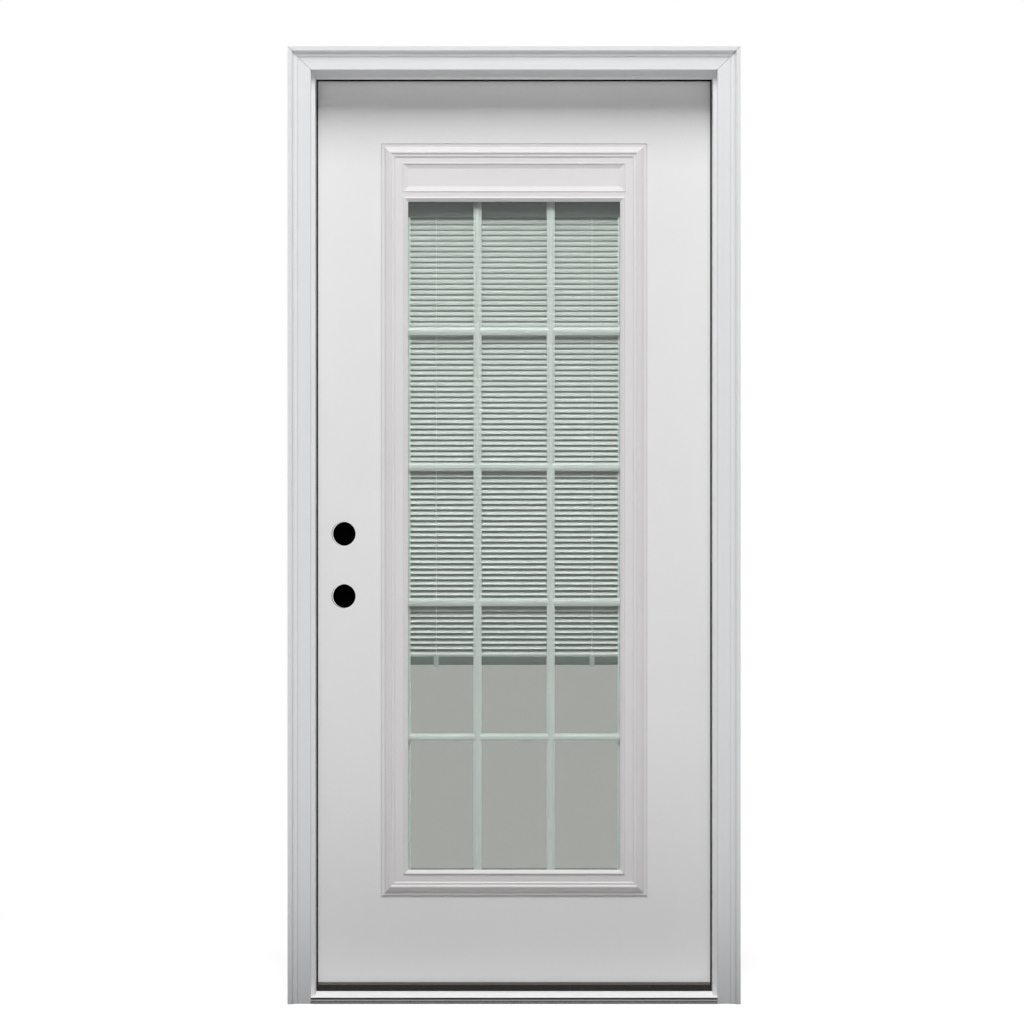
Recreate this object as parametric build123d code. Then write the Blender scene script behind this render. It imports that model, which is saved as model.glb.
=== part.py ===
from build123d import *
import os
from math import cos, radians, tan

os.makedirs("parts", exist_ok=True)

# A prehung inswing front door: brickmould, rabbeted jambs and sill, and a fiberglass slab with a full lite.
# X runs to the right seen from outside, Y from outside to inside, Z up. Millimetres.
# The origin is on the sill's underside, at mid width, in the plane where the brickmould meets the jambs.

# Slab
slab_width = 904.4
slab_height = 2032.0
slab_thickness = 44.45
slab_lift = 38.4
skin_thickness = 2.0
stile_width = 38.0
rail_height = 38.0
latch_bevel_deg = 3.0

# Gaps and seats
side_gap = 5.0
head_gap = 5.0
stop_gap = 6.0
seat_gap = 0.3

# Jambs
jamb_depth = 115.9
jamb_thickness = 31.75
rabbet_depth = 14.3

# Brickmould
mould_width = 50.8
mould_thickness = 31.75
mould_reveal = 8.8
mould_head_reveal = 13.3
mould_outer_flat = 9.5
mould_cove = 8.0
mould_fillet_flat = 3.0
mould_step_run = 3.0
mould_step_drop = 3.0
mitre_gap = 0.7
overcut = 1.0

# Sill
sill_nose_depth = 25.0
sill_nose_height = 14.4
deck_height = 20.0
deck_thickness = 2.0
deck_run = 65.0
nose_groove_drop = 0.8
nose_groove_height = 3.8
nose_groove_depth = 4.0
nose_bead_height = 2.2
nose_bead_reach = 1.0
cap_height = 27.5
cap_floor = 7.7
cap_side_gap = 1.5
cap_back_margin = 4.0
cap_crown = 1.5
cap_slope_run = 4.5
dam_height = 34.0
dam_depth = 6.0
dam_chamfer = 1.5
dam_root = 1.0

# Weatherstrip
strip_reveal = 3.5
strip_width = 14.0
strip_round = 1.8

# Lock preparation
lock_height = 865.6
deadbolt_spacing = 139.7
backset = 69.85
lock_bore_radius = 26.99
edge_bore_radius = 12.7
latch_plate_width = 25.4
latch_plate_height = 57.15
latch_plate_depth = 4.0
lock_block_width = 95.0
lock_block_margin = 90.0

# Lite
lite_width = 597.0
lite_height = 1687.6
lite_lift = 21.0
lite_border = 61.0
lite_foot = 58.8
lite_header = 131.0
pane_thickness = 3.2
cavity_depth = 22.0
pane_cover = 16.0
pane_edge_gap = 2.0
frame_leg = 3.5
frame_leg_gap = 0.5
spacer_inset = 2.0
spacer_width = 8.0

# Lite frame moulding, heights above the slab's face
seal_lip = 0.8
seal_height = 1.8
quirk_width = 1.6
quirk_floor = 0.4
ledge_width = 8.0
ledge_height = 2.5
ovolo_width = 3.0
ovolo_height = 6.0
slope_width = 9.0
ridge_height = 10.5
ridge_width = 2.5
step_width = 2.8
step_flat = 4.6
flat_height = 5.5
bead_width = 10.8
bead_height = 8.0
bead_top = 1.8
bead_rise = 2.0
lip_height = 3.5
lip_wall = 3.0
panel_width = 495.0
panel_height = 60.5
panel_drop = 46.5
panel_bevel = 10.5
panel_depth = 3.2
panel_rim_width = 2.4
panel_rim_height = 1.1

# Grille between the panes
bar_width = 18.0
bar_thickness = 6.0
bar_shoulder = 3.5
bar_edge = 2.2
bar_ridge = 6.4
bar_pitch = 304.1
lowest_bar = 296.0
rail_bar_relief = 0.6
columns = 3
rows = 5

# Blind between the panes
slat_width = 16.0
slat_thickness = 0.3
slat_crown = 1.1
slat_pitch = 12.1
slat_tilt_top = 72.0
slat_tilt_bottom = 46.0
headrail_height = 45.0
headrail_reveal = 33.5
headrail_depth = 13.6
bottom_rail_height = 19.9
bottom_rail_depth = 11.0
blind_drop = 1038.9
slat_rest = 7.2
channel_width = 10.5
channel_wall = 0.8
string_width = 1.4
string_depth = 0.5
string_offset = 175.0
string_gap = 0.15
clip_width = 11.0
clip_rise = 0.5
clip_drop = 4.0
clip_thickness = 0.6
operator_width = 11.0
operator_depth = 5.0
operator_length = 960.0
slider_height = 46.0
slider_depth = 4.5
slider_chamfer = 2.0

# Sweep under the slab
sweep_plate = 3.0
sweep_skirt = 3.0
sweep_fin = 1.5
sweep_clearance = 5.0
sweep_inset = 1.5
sweep_fins = 3

# Hinges
hinge_height = 101.6
hinge_leaf_depth = 28.6
hinge_leaf_thickness = 2.5
hinge_corner = 15.9
hinge_knuckle_radius = 6.3
hinge_axis_reach = 7.0
hinge_knuckles = 5
hinge_knuckle_gap = 0.3
hinge_pin_radius = 3.15
hinge_pin_clearance = 0.05
hinge_pin_head_radius = 5.0
hinge_pin_head = 3.0
hinge_pin_chamfer = 1.0
hinge_pin_tip = 3.0
hinge_top_inset = 228.6
hinge_bottom_inset = 330.2
mortise_clearance = 0.3

# Places that follow from the sizes
slab_in = jamb_depth
slab_out = slab_in - slab_thickness
slab_mid = (slab_in + slab_out) / 2
slab_bottom = slab_lift
slab_top = slab_bottom + slab_height
slab_edge = slab_width / 2
stop_y = slab_out - stop_gap
rabbet_x = slab_edge + side_gap
stop_x = rabbet_x - rabbet_depth
jamb_x = stop_x + jamb_thickness
rabbet_wall = jamb_x - rabbet_x
rabbet_z = slab_top + head_gap
stop_z = rabbet_z - rabbet_depth
jamb_top = stop_z + jamb_thickness
mould_in_x = stop_x + mould_reveal
mould_x = mould_in_x + mould_width
mould_in_z = stop_z + mould_head_reveal
mould_top = mould_in_z + mould_width

lite_mid_z = slab_bottom + slab_height / 2 + lite_lift
lite_z0 = lite_mid_z - lite_height / 2
lite_z1 = lite_mid_z + lite_height / 2
glass_x = lite_width / 2 - lite_border
glass_z0 = lite_z0 + lite_foot
glass_z1 = lite_z1 - lite_header
pane_x = glass_x + pane_cover
pane_z0 = glass_z0 - pane_cover
pane_z1 = glass_z1 + pane_cover
cut_margin = pane_edge_gap + frame_leg + frame_leg_gap
cut_x = pane_x + cut_margin
cut_z0 = pane_z0 - cut_margin
cut_z1 = pane_z1 + cut_margin
cavity_out = slab_mid - cavity_depth / 2
cavity_in = slab_mid + cavity_depth / 2
pane_out = cavity_out - pane_thickness
pane_in = cavity_in + pane_thickness
spacer_x = pane_x - spacer_inset - spacer_width
spacer_z0 = pane_z0 + spacer_inset + spacer_width
spacer_z1 = pane_z1 - spacer_inset - spacer_width

lock_z = slab_bottom + lock_height
deadbolt_z = lock_z + deadbolt_spacing
lock_x = -slab_edge + backset
block_x0 = -slab_edge + stile_width
block_x1 = block_x0 + lock_block_width
block_z0 = lock_z - lock_block_margin
block_z1 = deadbolt_z + lock_block_margin

hinge_x = slab_edge + side_gap / 2
hinge_y = slab_in + hinge_axis_reach
hinge_top_z = slab_top - hinge_top_inset
hinge_bottom_z = slab_bottom + hinge_bottom_inset
hinge_middle_z = (hinge_top_z + hinge_bottom_z) / 2
hinge_places = {"top": hinge_top_z, "middle": hinge_middle_z, "bottom": hinge_bottom_z}

grille_mid = cavity_out + seat_gap + bar_thickness / 2
blind_mid = cavity_in - seat_gap - headrail_depth / 2
headrail_z0 = glass_z1 - headrail_reveal
bottom_rail_z0 = glass_z1 - blind_drop


def block(x0, x1, y0, y1, z0, z1):
    """A box between two corners."""
    return Pos((x0 + x1) / 2, (y0 + y1) / 2, (z0 + z1) / 2) * Box(x1 - x0, y1 - y0, z1 - z0)


def latch_edge(y):
    """The slab's bevelled latch edge at depth y."""
    return -slab_edge + (slab_in - y) * tan(radians(latch_bevel_deg))


def bar_along_x(points, x0, x1):
    """A bar between x0 and x1 whose section is given as (y, z) points."""
    section = Plane(origin=(x0, 0, 0), x_dir=(0, 1, 0), z_dir=(1, 0, 0)) * make_face(Polyline(*points, close=True))
    return extrude(section, amount=x1 - x0, dir=(1, 0, 0))


def mitred_ring(width, height, center_z, face_y, points):
    """A mitred frame in the XZ plane: points are (distance inwards, height above face_y towards the outside)."""
    low = center_z - height / 2
    high = center_z + height / 2
    path = Polyline(
        (0, face_y, low), (width / 2, face_y, low), (width / 2, face_y, high),
        (-width / 2, face_y, high), (-width / 2, face_y, low), close=True,
    )
    start = Plane(origin=(0, face_y, low), x_dir=(0, 0, 1), z_dir=(1, 0, 0))
    return sweep(start * make_face(Polyline(*points, close=True)), path=path, transition=Transition.RIGHT)


# Brickmould


def mould_section():
    """The casing's section: x from the outer edge inwards, y its height above the back."""
    cove_end = mould_outer_flat + mould_cove
    top = mould_thickness
    low = top - mould_cove
    mid = mould_cove * cos(radians(45))
    step_start = cove_end + mould_fillet_flat
    step_end = step_start + mould_step_run
    inner = low - mould_step_drop
    outline = Polyline((0, 0), (0, top), (mould_outer_flat, top))
    outline += ThreePointArc((mould_outer_flat, top), (cove_end - mid, top - mid), (cove_end, low))
    outline += Polyline(
        (cove_end, low), (step_start, low), (step_end, inner), (mould_width, inner), (mould_width, 0), (0, 0)
    )
    return make_face(outline)


def brickmould_left():
    place = Plane(origin=(-mould_x, 0, 0), x_dir=(1, 0, 0), z_dir=(0, 0, -1))
    leg = extrude(place * mould_section(), amount=mould_top, dir=(0, 0, 1))
    mitre = Plane(origin=(-mould_in_x, 0, mould_in_z - mitre_gap / 2), x_dir=(0, 1, 0), z_dir=(1, 0, 1))
    return split(leg, bisect_by=mitre, keep=Keep.BOTTOM)


def brickmould_head():
    place = Plane(origin=(-mould_x, 0, mould_top), x_dir=(0, 0, -1), z_dir=(-1, 0, 0))
    bar = extrude(place * mould_section(), amount=2 * mould_x, dir=(1, 0, 0))
    for side in (-1, 1):
        mitre = Plane(origin=(side * mould_in_x, 0, mould_in_z + mitre_gap / 2), x_dir=(0, 1, 0), z_dir=(-side, 0, 1))
        bar = split(bar, bisect_by=mitre, keep=Keep.TOP)
    return bar


# Sill


def deck_z(y):
    """Height of the sloping deck at depth y."""
    run = deck_run + sill_nose_depth
    return sill_nose_height + (deck_height - sill_nose_height) * (y + sill_nose_depth) / run


def nose_low():
    """Underside of the bead that ends the deck's folded nose."""
    return sill_nose_height - nose_groove_drop - nose_groove_height - nose_bead_height


def sill_plan(body):
    """Cuts the sill to its plan: it runs under the jambs, and its nose fits between the casing's legs."""
    for side in (-1, 1):
        x0 = mould_in_x - seat_gap
        x1 = jamb_x + mould_width
        body -= block(min(side * x0, side * x1), max(side * x0, side * x1), -2 * sill_nose_depth, seat_gap,
                      -overcut, 2 * deck_height)
    return body


def sill_deck():
    front = -sill_nose_depth
    groove_top = sill_nose_height - nose_groove_drop
    groove_low = groove_top - nose_groove_height
    bead_low = nose_low()
    outer = [
        (deck_run, deck_height), (front, sill_nose_height), (front, groove_top),
        (front + nose_groove_depth, groove_top), (front + nose_groove_depth, groove_low),
        (front - nose_bead_reach, groove_low), (front - nose_bead_reach, bead_low),
    ]
    wall = front + nose_groove_depth + deck_thickness
    inner = [(wall, bead_low), (wall, deck_z(wall) - deck_thickness), (deck_run, deck_height - deck_thickness)]
    return sill_plan(bar_along_x(outer + inner, -jamb_x, jamb_x))


def sill_base():
    front = -sill_nose_depth
    lip = nose_low() - seat_gap
    wall = front + nose_groove_depth + deck_thickness + seat_gap
    outline = [
        (front, 0), (front, lip), (wall, lip), (wall, deck_z(wall) - deck_thickness - seat_gap),
        (deck_run, deck_height - deck_thickness - seat_gap), (deck_run + seat_gap, deck_height),
        (jamb_depth, deck_height), (jamb_depth, 0),
    ]
    body = sill_plan(bar_along_x(outline, -jamb_x, jamb_x))
    channel_x = rabbet_x - cap_side_gap + seat_gap
    channel_out = deck_run + seat_gap
    return body - block(-channel_x, channel_x, channel_out, jamb_depth - cap_back_margin, cap_floor, 2 * deck_height)


def sill_cap():
    """The strip under the door, with a dam in front of the sweep."""
    x = rabbet_x - cap_side_gap
    y0 = stop_y + seat_gap
    y1 = jamb_depth - cap_back_margin - seat_gap
    z0 = cap_floor + seat_gap
    shoulder = cap_height - cap_crown
    points = [
        (y0, z0), (y0, shoulder), (y0 + cap_slope_run, cap_height), (y1 - cap_slope_run, cap_height),
        (y1, shoulder), (y1, z0),
    ]
    dam_x = stop_x - seat_gap
    dam_out = y0 - dam_depth
    dam_foot = deck_height + seat_gap
    dam = [
        (dam_out, dam_foot), (dam_out, dam_height - dam_chamfer), (dam_out + dam_chamfer, dam_height),
        (stop_y, dam_height), (stop_y, shoulder), (y0 + dam_root, shoulder), (y0 + dam_root, dam_foot),
    ]
    return bar_along_x(points, -x, x) + bar_along_x(dam, -dam_x, dam_x)


def above_sill(body):
    """Cuts a jamb's foot to the sloping deck and the level back of the sill."""
    foot = [
        (-overcut, -overcut), (-overcut, deck_z(-overcut) + seat_gap), (deck_run, deck_height + seat_gap),
        (jamb_depth + overcut, deck_height + seat_gap), (jamb_depth + overcut, -overcut),
    ]
    return body - bar_along_x(foot, -mould_x, mould_x)


# Jambs


def jamb():
    """The left-hand jamb, rabbeted from the solid."""
    section = make_face(Polyline(
        (-jamb_x, 0), (-stop_x, 0), (-stop_x, stop_y), (-rabbet_x, stop_y), (-rabbet_x, jamb_depth),
        (-jamb_x, jamb_depth), close=True,
    ))
    return above_sill(extrude(section, amount=jamb_top, dir=(0, 0, 1)))


def latch_jamb():
    body = jamb()
    for z in (lock_z, deadbolt_z):
        strike = Pos(-rabbet_x - rabbet_wall / 2, slab_mid, z) * Rot(0, 90, 0)
        body -= strike * Cylinder(edge_bore_radius, rabbet_wall + 2 * overcut)
    return body


def hinge_jamb():
    body = mirror(jamb(), about=Plane.YZ)
    for z in hinge_places.values():
        body -= hinge_mortise(rabbet_x, z)
    return body


def head_jamb():
    over_stop = block(-stop_x + seat_gap, stop_x - seat_gap, 0, stop_y, stop_z, jamb_top)
    over_rabbet = block(-rabbet_x + seat_gap, rabbet_x - seat_gap, stop_y, jamb_depth, rabbet_z, jamb_top)
    return over_stop + over_rabbet


# Weatherstrip


def weatherstrip_left():
    y0 = stop_y + seat_gap
    y1 = slab_out - seat_gap
    x0 = -stop_x + strip_reveal - strip_width
    x1 = -stop_x + strip_reveal
    foot = cap_height + seat_gap
    section = Pos((x0 + x1) / 2, (y0 + y1) / 2, foot) * RectangleRounded(x1 - x0, y1 - y0, strip_round)
    return extrude(section, amount=stop_z - strip_reveal - seat_gap - foot, dir=(0, 0, 1))


def weatherstrip_head():
    y0 = stop_y + seat_gap
    y1 = slab_out - seat_gap
    z0 = stop_z - strip_reveal
    x = stop_x - strip_reveal + strip_width
    place = Plane(origin=(-x, (y0 + y1) / 2, z0 + strip_width / 2), x_dir=(0, 1, 0), z_dir=(1, 0, 0))
    return extrude(place * RectangleRounded(y1 - y0, strip_width, strip_round), amount=2 * x, dir=(1, 0, 0))


# Hinges


def hinge_mortise(face_x, z):
    """The pocket for one leaf; face_x is the face that it is cut into."""
    inwards = 1 if face_x > slab_edge else -1
    x0 = face_x
    x1 = face_x + inwards * hinge_leaf_thickness
    half = hinge_height / 2 + mortise_clearance
    depth = hinge_leaf_depth + mortise_clearance
    place = Plane(origin=(min(x0, x1), slab_in, z), x_dir=(0, 1, 0), z_dir=(1, 0, 0))
    outline = Pos(-depth / 2, 0) * Rectangle(depth, 2 * half)
    back = outline.vertices().sort_by(Axis.X)[:2]
    return extrude(place * fillet(back, hinge_corner), amount=hinge_leaf_thickness, dir=(1, 0, 0))


def knuckle_span(index):
    """Bottom and top of one knuckle, measured from the hinge's foot."""
    pitch = (hinge_height + hinge_knuckle_gap) / hinge_knuckles
    return index * pitch, (index + 1) * pitch - hinge_knuckle_gap


def hinge_leaf(z, face_x, indices):
    """A leaf let into face_x, with the knuckles that are its own."""
    inwards = 1 if face_x > slab_edge else -1
    x0 = min(face_x, face_x + inwards * hinge_leaf_thickness)
    place = Plane(origin=(x0, slab_in, z), x_dir=(0, 1, 0), z_dir=(1, 0, 0))
    outline = Pos(-hinge_leaf_depth / 2, 0) * Rectangle(hinge_leaf_depth, hinge_height)
    back = outline.vertices().sort_by(Axis.X)[:2]
    leaf = extrude(place * fillet(back, hinge_corner), amount=hinge_leaf_thickness, dir=(1, 0, 0))
    foot = z - hinge_height / 2
    for index in indices:
        z0, z1 = knuckle_span(index)
        height = z1 - z0
        leaf += block(x0, x0 + hinge_leaf_thickness, slab_in, hinge_y, foot + z0, foot + z1)
        leaf += Pos(hinge_x, hinge_y, foot + z0 + height / 2) * Cylinder(hinge_knuckle_radius, height)
    bore = Cylinder(hinge_pin_radius + hinge_pin_clearance, hinge_height + 2 * overcut)
    return leaf - Pos(hinge_x, hinge_y, z) * bore


def hinge_pin(z):
    top = z + hinge_height / 2
    foot = z - hinge_height / 2 - hinge_pin_tip
    shank = Pos(hinge_x, hinge_y, (top + foot) / 2) * Cylinder(hinge_pin_radius, top - foot)
    head = Pos(hinge_x, hinge_y, top + hinge_pin_head / 2) * Cylinder(hinge_pin_head_radius, hinge_pin_head)
    head = chamfer(head.edges().group_by(Axis.Z)[-1], hinge_pin_chamfer)
    return shank + head


# Slab


def slab_layer(y0, y1, x1, z0, z1):
    """A layer of the slab from its bevelled latch edge to x1."""
    section = make_face(Polyline((latch_edge(y0), y0), (x1, y0), (x1, y1), (latch_edge(y1), y1), close=True))
    return extrude(Pos(0, 0, z0) * section, amount=z1 - z0, dir=(0, 0, 1))


def lock_bores(body):
    """Cuts the two face bores."""
    for z in (lock_z, deadbolt_z):
        body -= Pos(lock_x, slab_mid, z) * Rot(90, 0, 0) * Cylinder(lock_bore_radius, 2 * slab_thickness)
    return body


def edge_bores(body):
    """Cuts the two latch bores in from the edge, with the pockets for their face plates."""
    for z in (lock_z, deadbolt_z):
        length = backset + overcut
        bore = Rot(0, 90, 0) * Cylinder(edge_bore_radius, length)
        body -= Pos(-slab_edge - overcut + length / 2, slab_mid, z) * bore
        half_width = latch_plate_width / 2
        half_height = latch_plate_height / 2
        body -= block(-slab_edge - overcut, -slab_edge + latch_plate_depth, slab_mid - half_width,
                      slab_mid + half_width, z - half_height, z + half_height)
    return body


def lite_cut(body):
    return body - block(-cut_x, cut_x, 0, 2 * jamb_depth, cut_z0, cut_z1)


def exterior_skin():
    return lock_bores(lite_cut(slab_layer(slab_out, slab_out + skin_thickness, slab_edge, slab_bottom, slab_top)))


def interior_skin():
    skin = lock_bores(lite_cut(slab_layer(slab_in - skin_thickness, slab_in, slab_edge, slab_bottom, slab_top)))
    for z in hinge_places.values():
        skin -= hinge_mortise(slab_edge, z)
    return skin


core_out = slab_out + skin_thickness
core_in = slab_in - skin_thickness


def lock_stile():
    return edge_bores(slab_layer(core_out, core_in, block_x0, slab_bottom, slab_top))


def hinge_stile():
    stile = block(slab_edge - stile_width, slab_edge, core_out, core_in, slab_bottom, slab_top)
    for z in hinge_places.values():
        stile -= hinge_mortise(slab_edge, z)
    return stile


def top_rail():
    return block(block_x0, slab_edge - stile_width, core_out, core_in, slab_top - rail_height, slab_top)


def bottom_rail():
    return block(block_x0, slab_edge - stile_width, core_out, core_in, slab_bottom, slab_bottom + rail_height)


def lock_block():
    body = block(block_x0, block_x1, core_out, core_in, block_z0, block_z1)
    return edge_bores(lock_bores(body))


def foam_core():
    body = block(block_x0, slab_edge - stile_width, core_out, core_in, slab_bottom + rail_height,
                 slab_top - rail_height)
    body -= block(block_x0 - overcut, block_x1, 0, 2 * jamb_depth, block_z0, block_z1)
    return lite_cut(body)


def door_sweep():
    z1 = slab_bottom - seat_gap
    plate_z = z1 - sweep_plate
    fin_z = cap_height + sweep_clearance
    y0 = slab_out + sweep_inset
    y1 = slab_in - sweep_inset
    x0 = latch_edge(slab_out) + sweep_inset
    x1 = slab_edge - sweep_inset
    body = block(x0, x1, y0, y1, plate_z, z1)
    body += block(x0, x1, y0, y0 + sweep_skirt, fin_z, z1)
    for index in range(sweep_fins):
        y = y0 + (y1 - y0) * (index + 1) / (sweep_fins + 1)
        body += block(x0, x1, y - sweep_fin / 2, y + sweep_fin / 2, fin_z, z1)
    return body


# Lite frame


def outer_moulding():
    """Outer band of the lite frame's section, from its sealing lip to the flat."""
    quirk_in = seal_lip + quirk_width
    ovolo_in = ledge_width + ovolo_width
    slope_in = ovolo_in + slope_width
    ridge_in = slope_in + ridge_width
    step_in = ridge_in + step_width
    last_in = step_in + step_flat
    end = last_in + step_width
    middle = (ridge_height + flat_height) / 2
    return [
        (0, 0), (0, seal_height), (seal_lip, seal_height), (seal_lip, quirk_floor), (quirk_in, quirk_floor),
        (quirk_in, ledge_height), (ledge_width, ledge_height), (ovolo_in, ovolo_height), (slope_in, ridge_height),
        (ridge_in, ridge_height), (step_in, middle), (last_in, middle), (end, flat_height), (end, 0),
    ]


def inner_bead():
    """Inner band of the lite frame's section, from the flat to the glass; it reaches in to the pane."""
    reach = pane_out - seat_gap - slab_out
    return [
        (0, 0), (0, flat_height), (bead_rise, bead_height), (bead_rise + bead_top, bead_height),
        (bead_width, lip_height), (bead_width, -reach), (bead_width - lip_wall, -reach), (bead_width - lip_wall, 0),
    ]


def lite_frame():
    """The exterior half of the lite frame: moulded face, sunk header panel, lip at the glass and clamping leg."""
    moulding = outer_moulding()
    band = moulding[-1][0]
    frame = mitred_ring(lite_width, lite_height, lite_mid_z, slab_out, moulding)
    flat_x = lite_width / 2 - band
    bead_x = glass_x + bead_width
    bead_z0 = glass_z0 - bead_width
    bead_z1 = glass_z1 + bead_width
    flat = block(-flat_x, flat_x, slab_out - flat_height, slab_out, lite_z0 + band, lite_z1 - band)
    flat -= block(-bead_x, bead_x, 0, slab_in, bead_z0, bead_z1)
    frame += flat
    frame += mitred_ring(2 * bead_x, bead_z1 - bead_z0, (bead_z0 + bead_z1) / 2, slab_out, inner_bead())
    panel_z = lite_z1 - panel_drop - panel_height / 2
    rim = [
        (0, 0), (0, flat_height), (panel_rim_height / 2, flat_height + panel_rim_height),
        (panel_rim_width, flat_height + panel_rim_height), (panel_rim_width, 0),
    ]
    rim_width = panel_width + 2 * panel_rim_width
    frame += mitred_ring(rim_width, panel_height + 2 * panel_rim_width, panel_z, slab_out, rim)
    face = Plane(origin=(0, slab_out - flat_height, panel_z), x_dir=(1, 0, 0), z_dir=(0, -1, 0))
    floor = face.offset(-panel_depth)
    pocket = loft([
        face * Rectangle(panel_width, panel_height),
        floor * Rectangle(panel_width - 2 * panel_bevel, panel_height - 2 * panel_bevel),
    ])
    frame -= pocket
    leg_x = pane_x + pane_edge_gap + frame_leg
    leg_z0 = pane_z0 - pane_edge_gap - frame_leg
    leg_z1 = pane_z1 + pane_edge_gap + frame_leg
    leg = block(-leg_x, leg_x, slab_out - overcut, slab_mid - seat_gap, leg_z0, leg_z1)
    inner_x = leg_x - frame_leg
    leg -= block(-inner_x, inner_x, 0, slab_in, leg_z0 + frame_leg, leg_z1 - frame_leg)
    return frame + leg


def lite_frame_exterior():
    return lite_frame()


def lite_frame_interior():
    return mirror(lite_frame(), about=Plane(origin=(0, slab_mid, 0), z_dir=(0, 1, 0)))


# Glass unit


def exterior_pane():
    return block(-pane_x, pane_x, pane_out, cavity_out, pane_z0, pane_z1)


def interior_pane():
    return block(-pane_x, pane_x, cavity_in, pane_in, pane_z0, pane_z1)


def glass_spacer():
    outer_x = pane_x - spacer_inset
    ring = block(-outer_x, outer_x, cavity_out, cavity_in, pane_z0 + spacer_inset, pane_z1 - spacer_inset)
    return ring - block(-spacer_x, spacer_x, 0, slab_in, spacer_z0, spacer_z1)


def bar_section(ridge):
    """Contoured section of a grille bar: x across its width, y through its thickness."""
    half = bar_width / 2
    edge = bar_edge / 2
    shoulder = (bar_edge + ridge) / 4
    front = [(-half, edge), (-half + bar_shoulder, shoulder), (-bar_ridge / 2, ridge / 2)]
    front += [(-x, y) for x, y in reversed(front)]
    back = [(x, -y) for x, y in reversed(front)]
    return make_face(Polyline(*(front + back), close=True))


def grille():
    """Bars across the unit: the upright ones share its width, the level ones stand at an even pitch."""
    pane_w = (2 * glass_x - (columns - 1) * bar_width) / columns
    end_x = spacer_x - seat_gap
    end_z0 = spacer_z0 + seat_gap
    end_z1 = spacer_z1 - seat_gap
    bars = []
    for index in range(1, columns):
        x = -glass_x + index * (pane_w + bar_width) - bar_width / 2
        place = Plane(origin=(x, grille_mid, end_z0), x_dir=(1, 0, 0), z_dir=(0, 0, 1))
        bars.append(extrude(place * bar_section(bar_thickness), amount=end_z1 - end_z0, dir=(0, 0, 1)))
    for index in range(rows - 1):
        z = glass_z0 + lowest_bar + index * bar_pitch
        place = Plane(origin=(-end_x, grille_mid, z), x_dir=(0, 0, 1), z_dir=(1, 0, 0))
        bars.append(extrude(place * bar_section(bar_thickness - rail_bar_relief), amount=2 * end_x, dir=(1, 0, 0)))
    return bars[0].fuse(*bars[1:])


# Blind


channel_x1 = spacer_x - seat_gap
channel_x0 = channel_x1 - channel_width
slat_x = channel_x1 - channel_wall - seat_gap
slat_top_z = headrail_z0 - slat_width / 2
slat_low_z = bottom_rail_z0 + bottom_rail_height + slat_rest
slat_count = int((slat_top_z - slat_low_z) / slat_pitch) + 1


def slat_section(tilt):
    """A crowned strip, its outer edge tipped down by tilt degrees: x is depth, y is height."""
    half = slat_width / 2
    upper = ThreePointArc((-half, 0), (0, slat_crown), (half, 0))
    lower = ThreePointArc((half, -slat_thickness), (0, slat_crown - slat_thickness), (-half, -slat_thickness))
    ends = Line((half, 0), (half, -slat_thickness)) + Line((-half, -slat_thickness), (-half, 0))
    return Rot(0, 0, tilt) * make_face(upper + lower + ends)


def blind_slats():
    slats = []
    for index in range(slat_count):
        share = index / (slat_count - 1)
        tilt = slat_tilt_top + (slat_tilt_bottom - slat_tilt_top) * share
        z = slat_top_z - index * slat_pitch
        place = Plane(origin=(-slat_x, blind_mid, z), x_dir=(0, 1, 0), z_dir=(1, 0, 0))
        slats.append(extrude(place * slat_section(tilt), amount=2 * slat_x, dir=(1, 0, 0)))
    return Compound(children=slats)


def blind_headrail():
    half = headrail_depth / 2
    x = channel_x1
    top = min(headrail_z0 + headrail_height, spacer_z1 - seat_gap)
    return block(-x, x, blind_mid - half, blind_mid + half, headrail_z0, top)


def blind_bottom_rail():
    half = bottom_rail_depth / 2
    round_ = bottom_rail_depth / 4
    place = Plane(origin=(-slat_x, blind_mid, bottom_rail_z0 + bottom_rail_height / 2), x_dir=(0, 1, 0),
                  z_dir=(1, 0, 0))
    return extrude(place * RectangleRounded(2 * half, bottom_rail_height, round_), amount=2 * slat_x, dir=(1, 0, 0))


def blind_side_channels():
    """Channels that guide the slats' ends, open towards the middle."""
    half = headrail_depth / 2
    z0 = spacer_z0 + seat_gap
    z1 = headrail_z0 - seat_gap
    right = block(channel_x0, channel_x1, blind_mid - half, blind_mid + half, z0, z1)
    right -= block(channel_x0 - overcut, channel_x1 - channel_wall, blind_mid - half + channel_wall / 2,
                   blind_mid + half - channel_wall / 2, z0 - overcut, z1 + overcut)
    return Compound(children=[right, mirror(right, about=Plane.YZ)])


string_reach = (headrail_depth - string_depth) / 2
clip_z1 = bottom_rail_z0 + bottom_rail_height + clip_rise


def blind_ladder_strings():
    strings = []
    z0 = clip_z1 + string_gap
    z1 = headrail_z0 - seat_gap
    for x in (-string_offset, string_offset):
        for side in (-1, 1):
            place = Pos(x, blind_mid + side * string_reach, (z0 + z1) / 2)
            strings.append(place * Box(string_width, string_depth, z1 - z0))
    return Compound(children=strings)


def blind_clips():
    """Clips that grip the bottom rail below each pair of strings."""
    clips = []
    half = bottom_rail_depth / 2 + string_gap
    for x in (-string_offset, string_offset):
        clip = block(x - clip_width / 2, x + clip_width / 2, blind_mid - half - clip_thickness,
                     blind_mid + half + clip_thickness, bottom_rail_z0 - clip_drop, clip_z1)
        clip -= block(x - clip_width, x + clip_width, blind_mid - half, blind_mid + half,
                      bottom_rail_z0 - string_gap, clip_z1 + overcut)
        clips.append(clip)
    return Compound(children=clips)


def operator_place():
    x1 = glass_x - seat_gap
    return x1 - operator_width, x1


def blind_operator():
    """The guide for the blind's hand slider, on the inside of the glass."""
    x0, x1 = operator_place()
    y0 = pane_in + seat_gap
    z1 = glass_z1 - seat_gap
    return block(x0, x1, y0, y0 + operator_depth, z1 - operator_length, z1)


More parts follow.
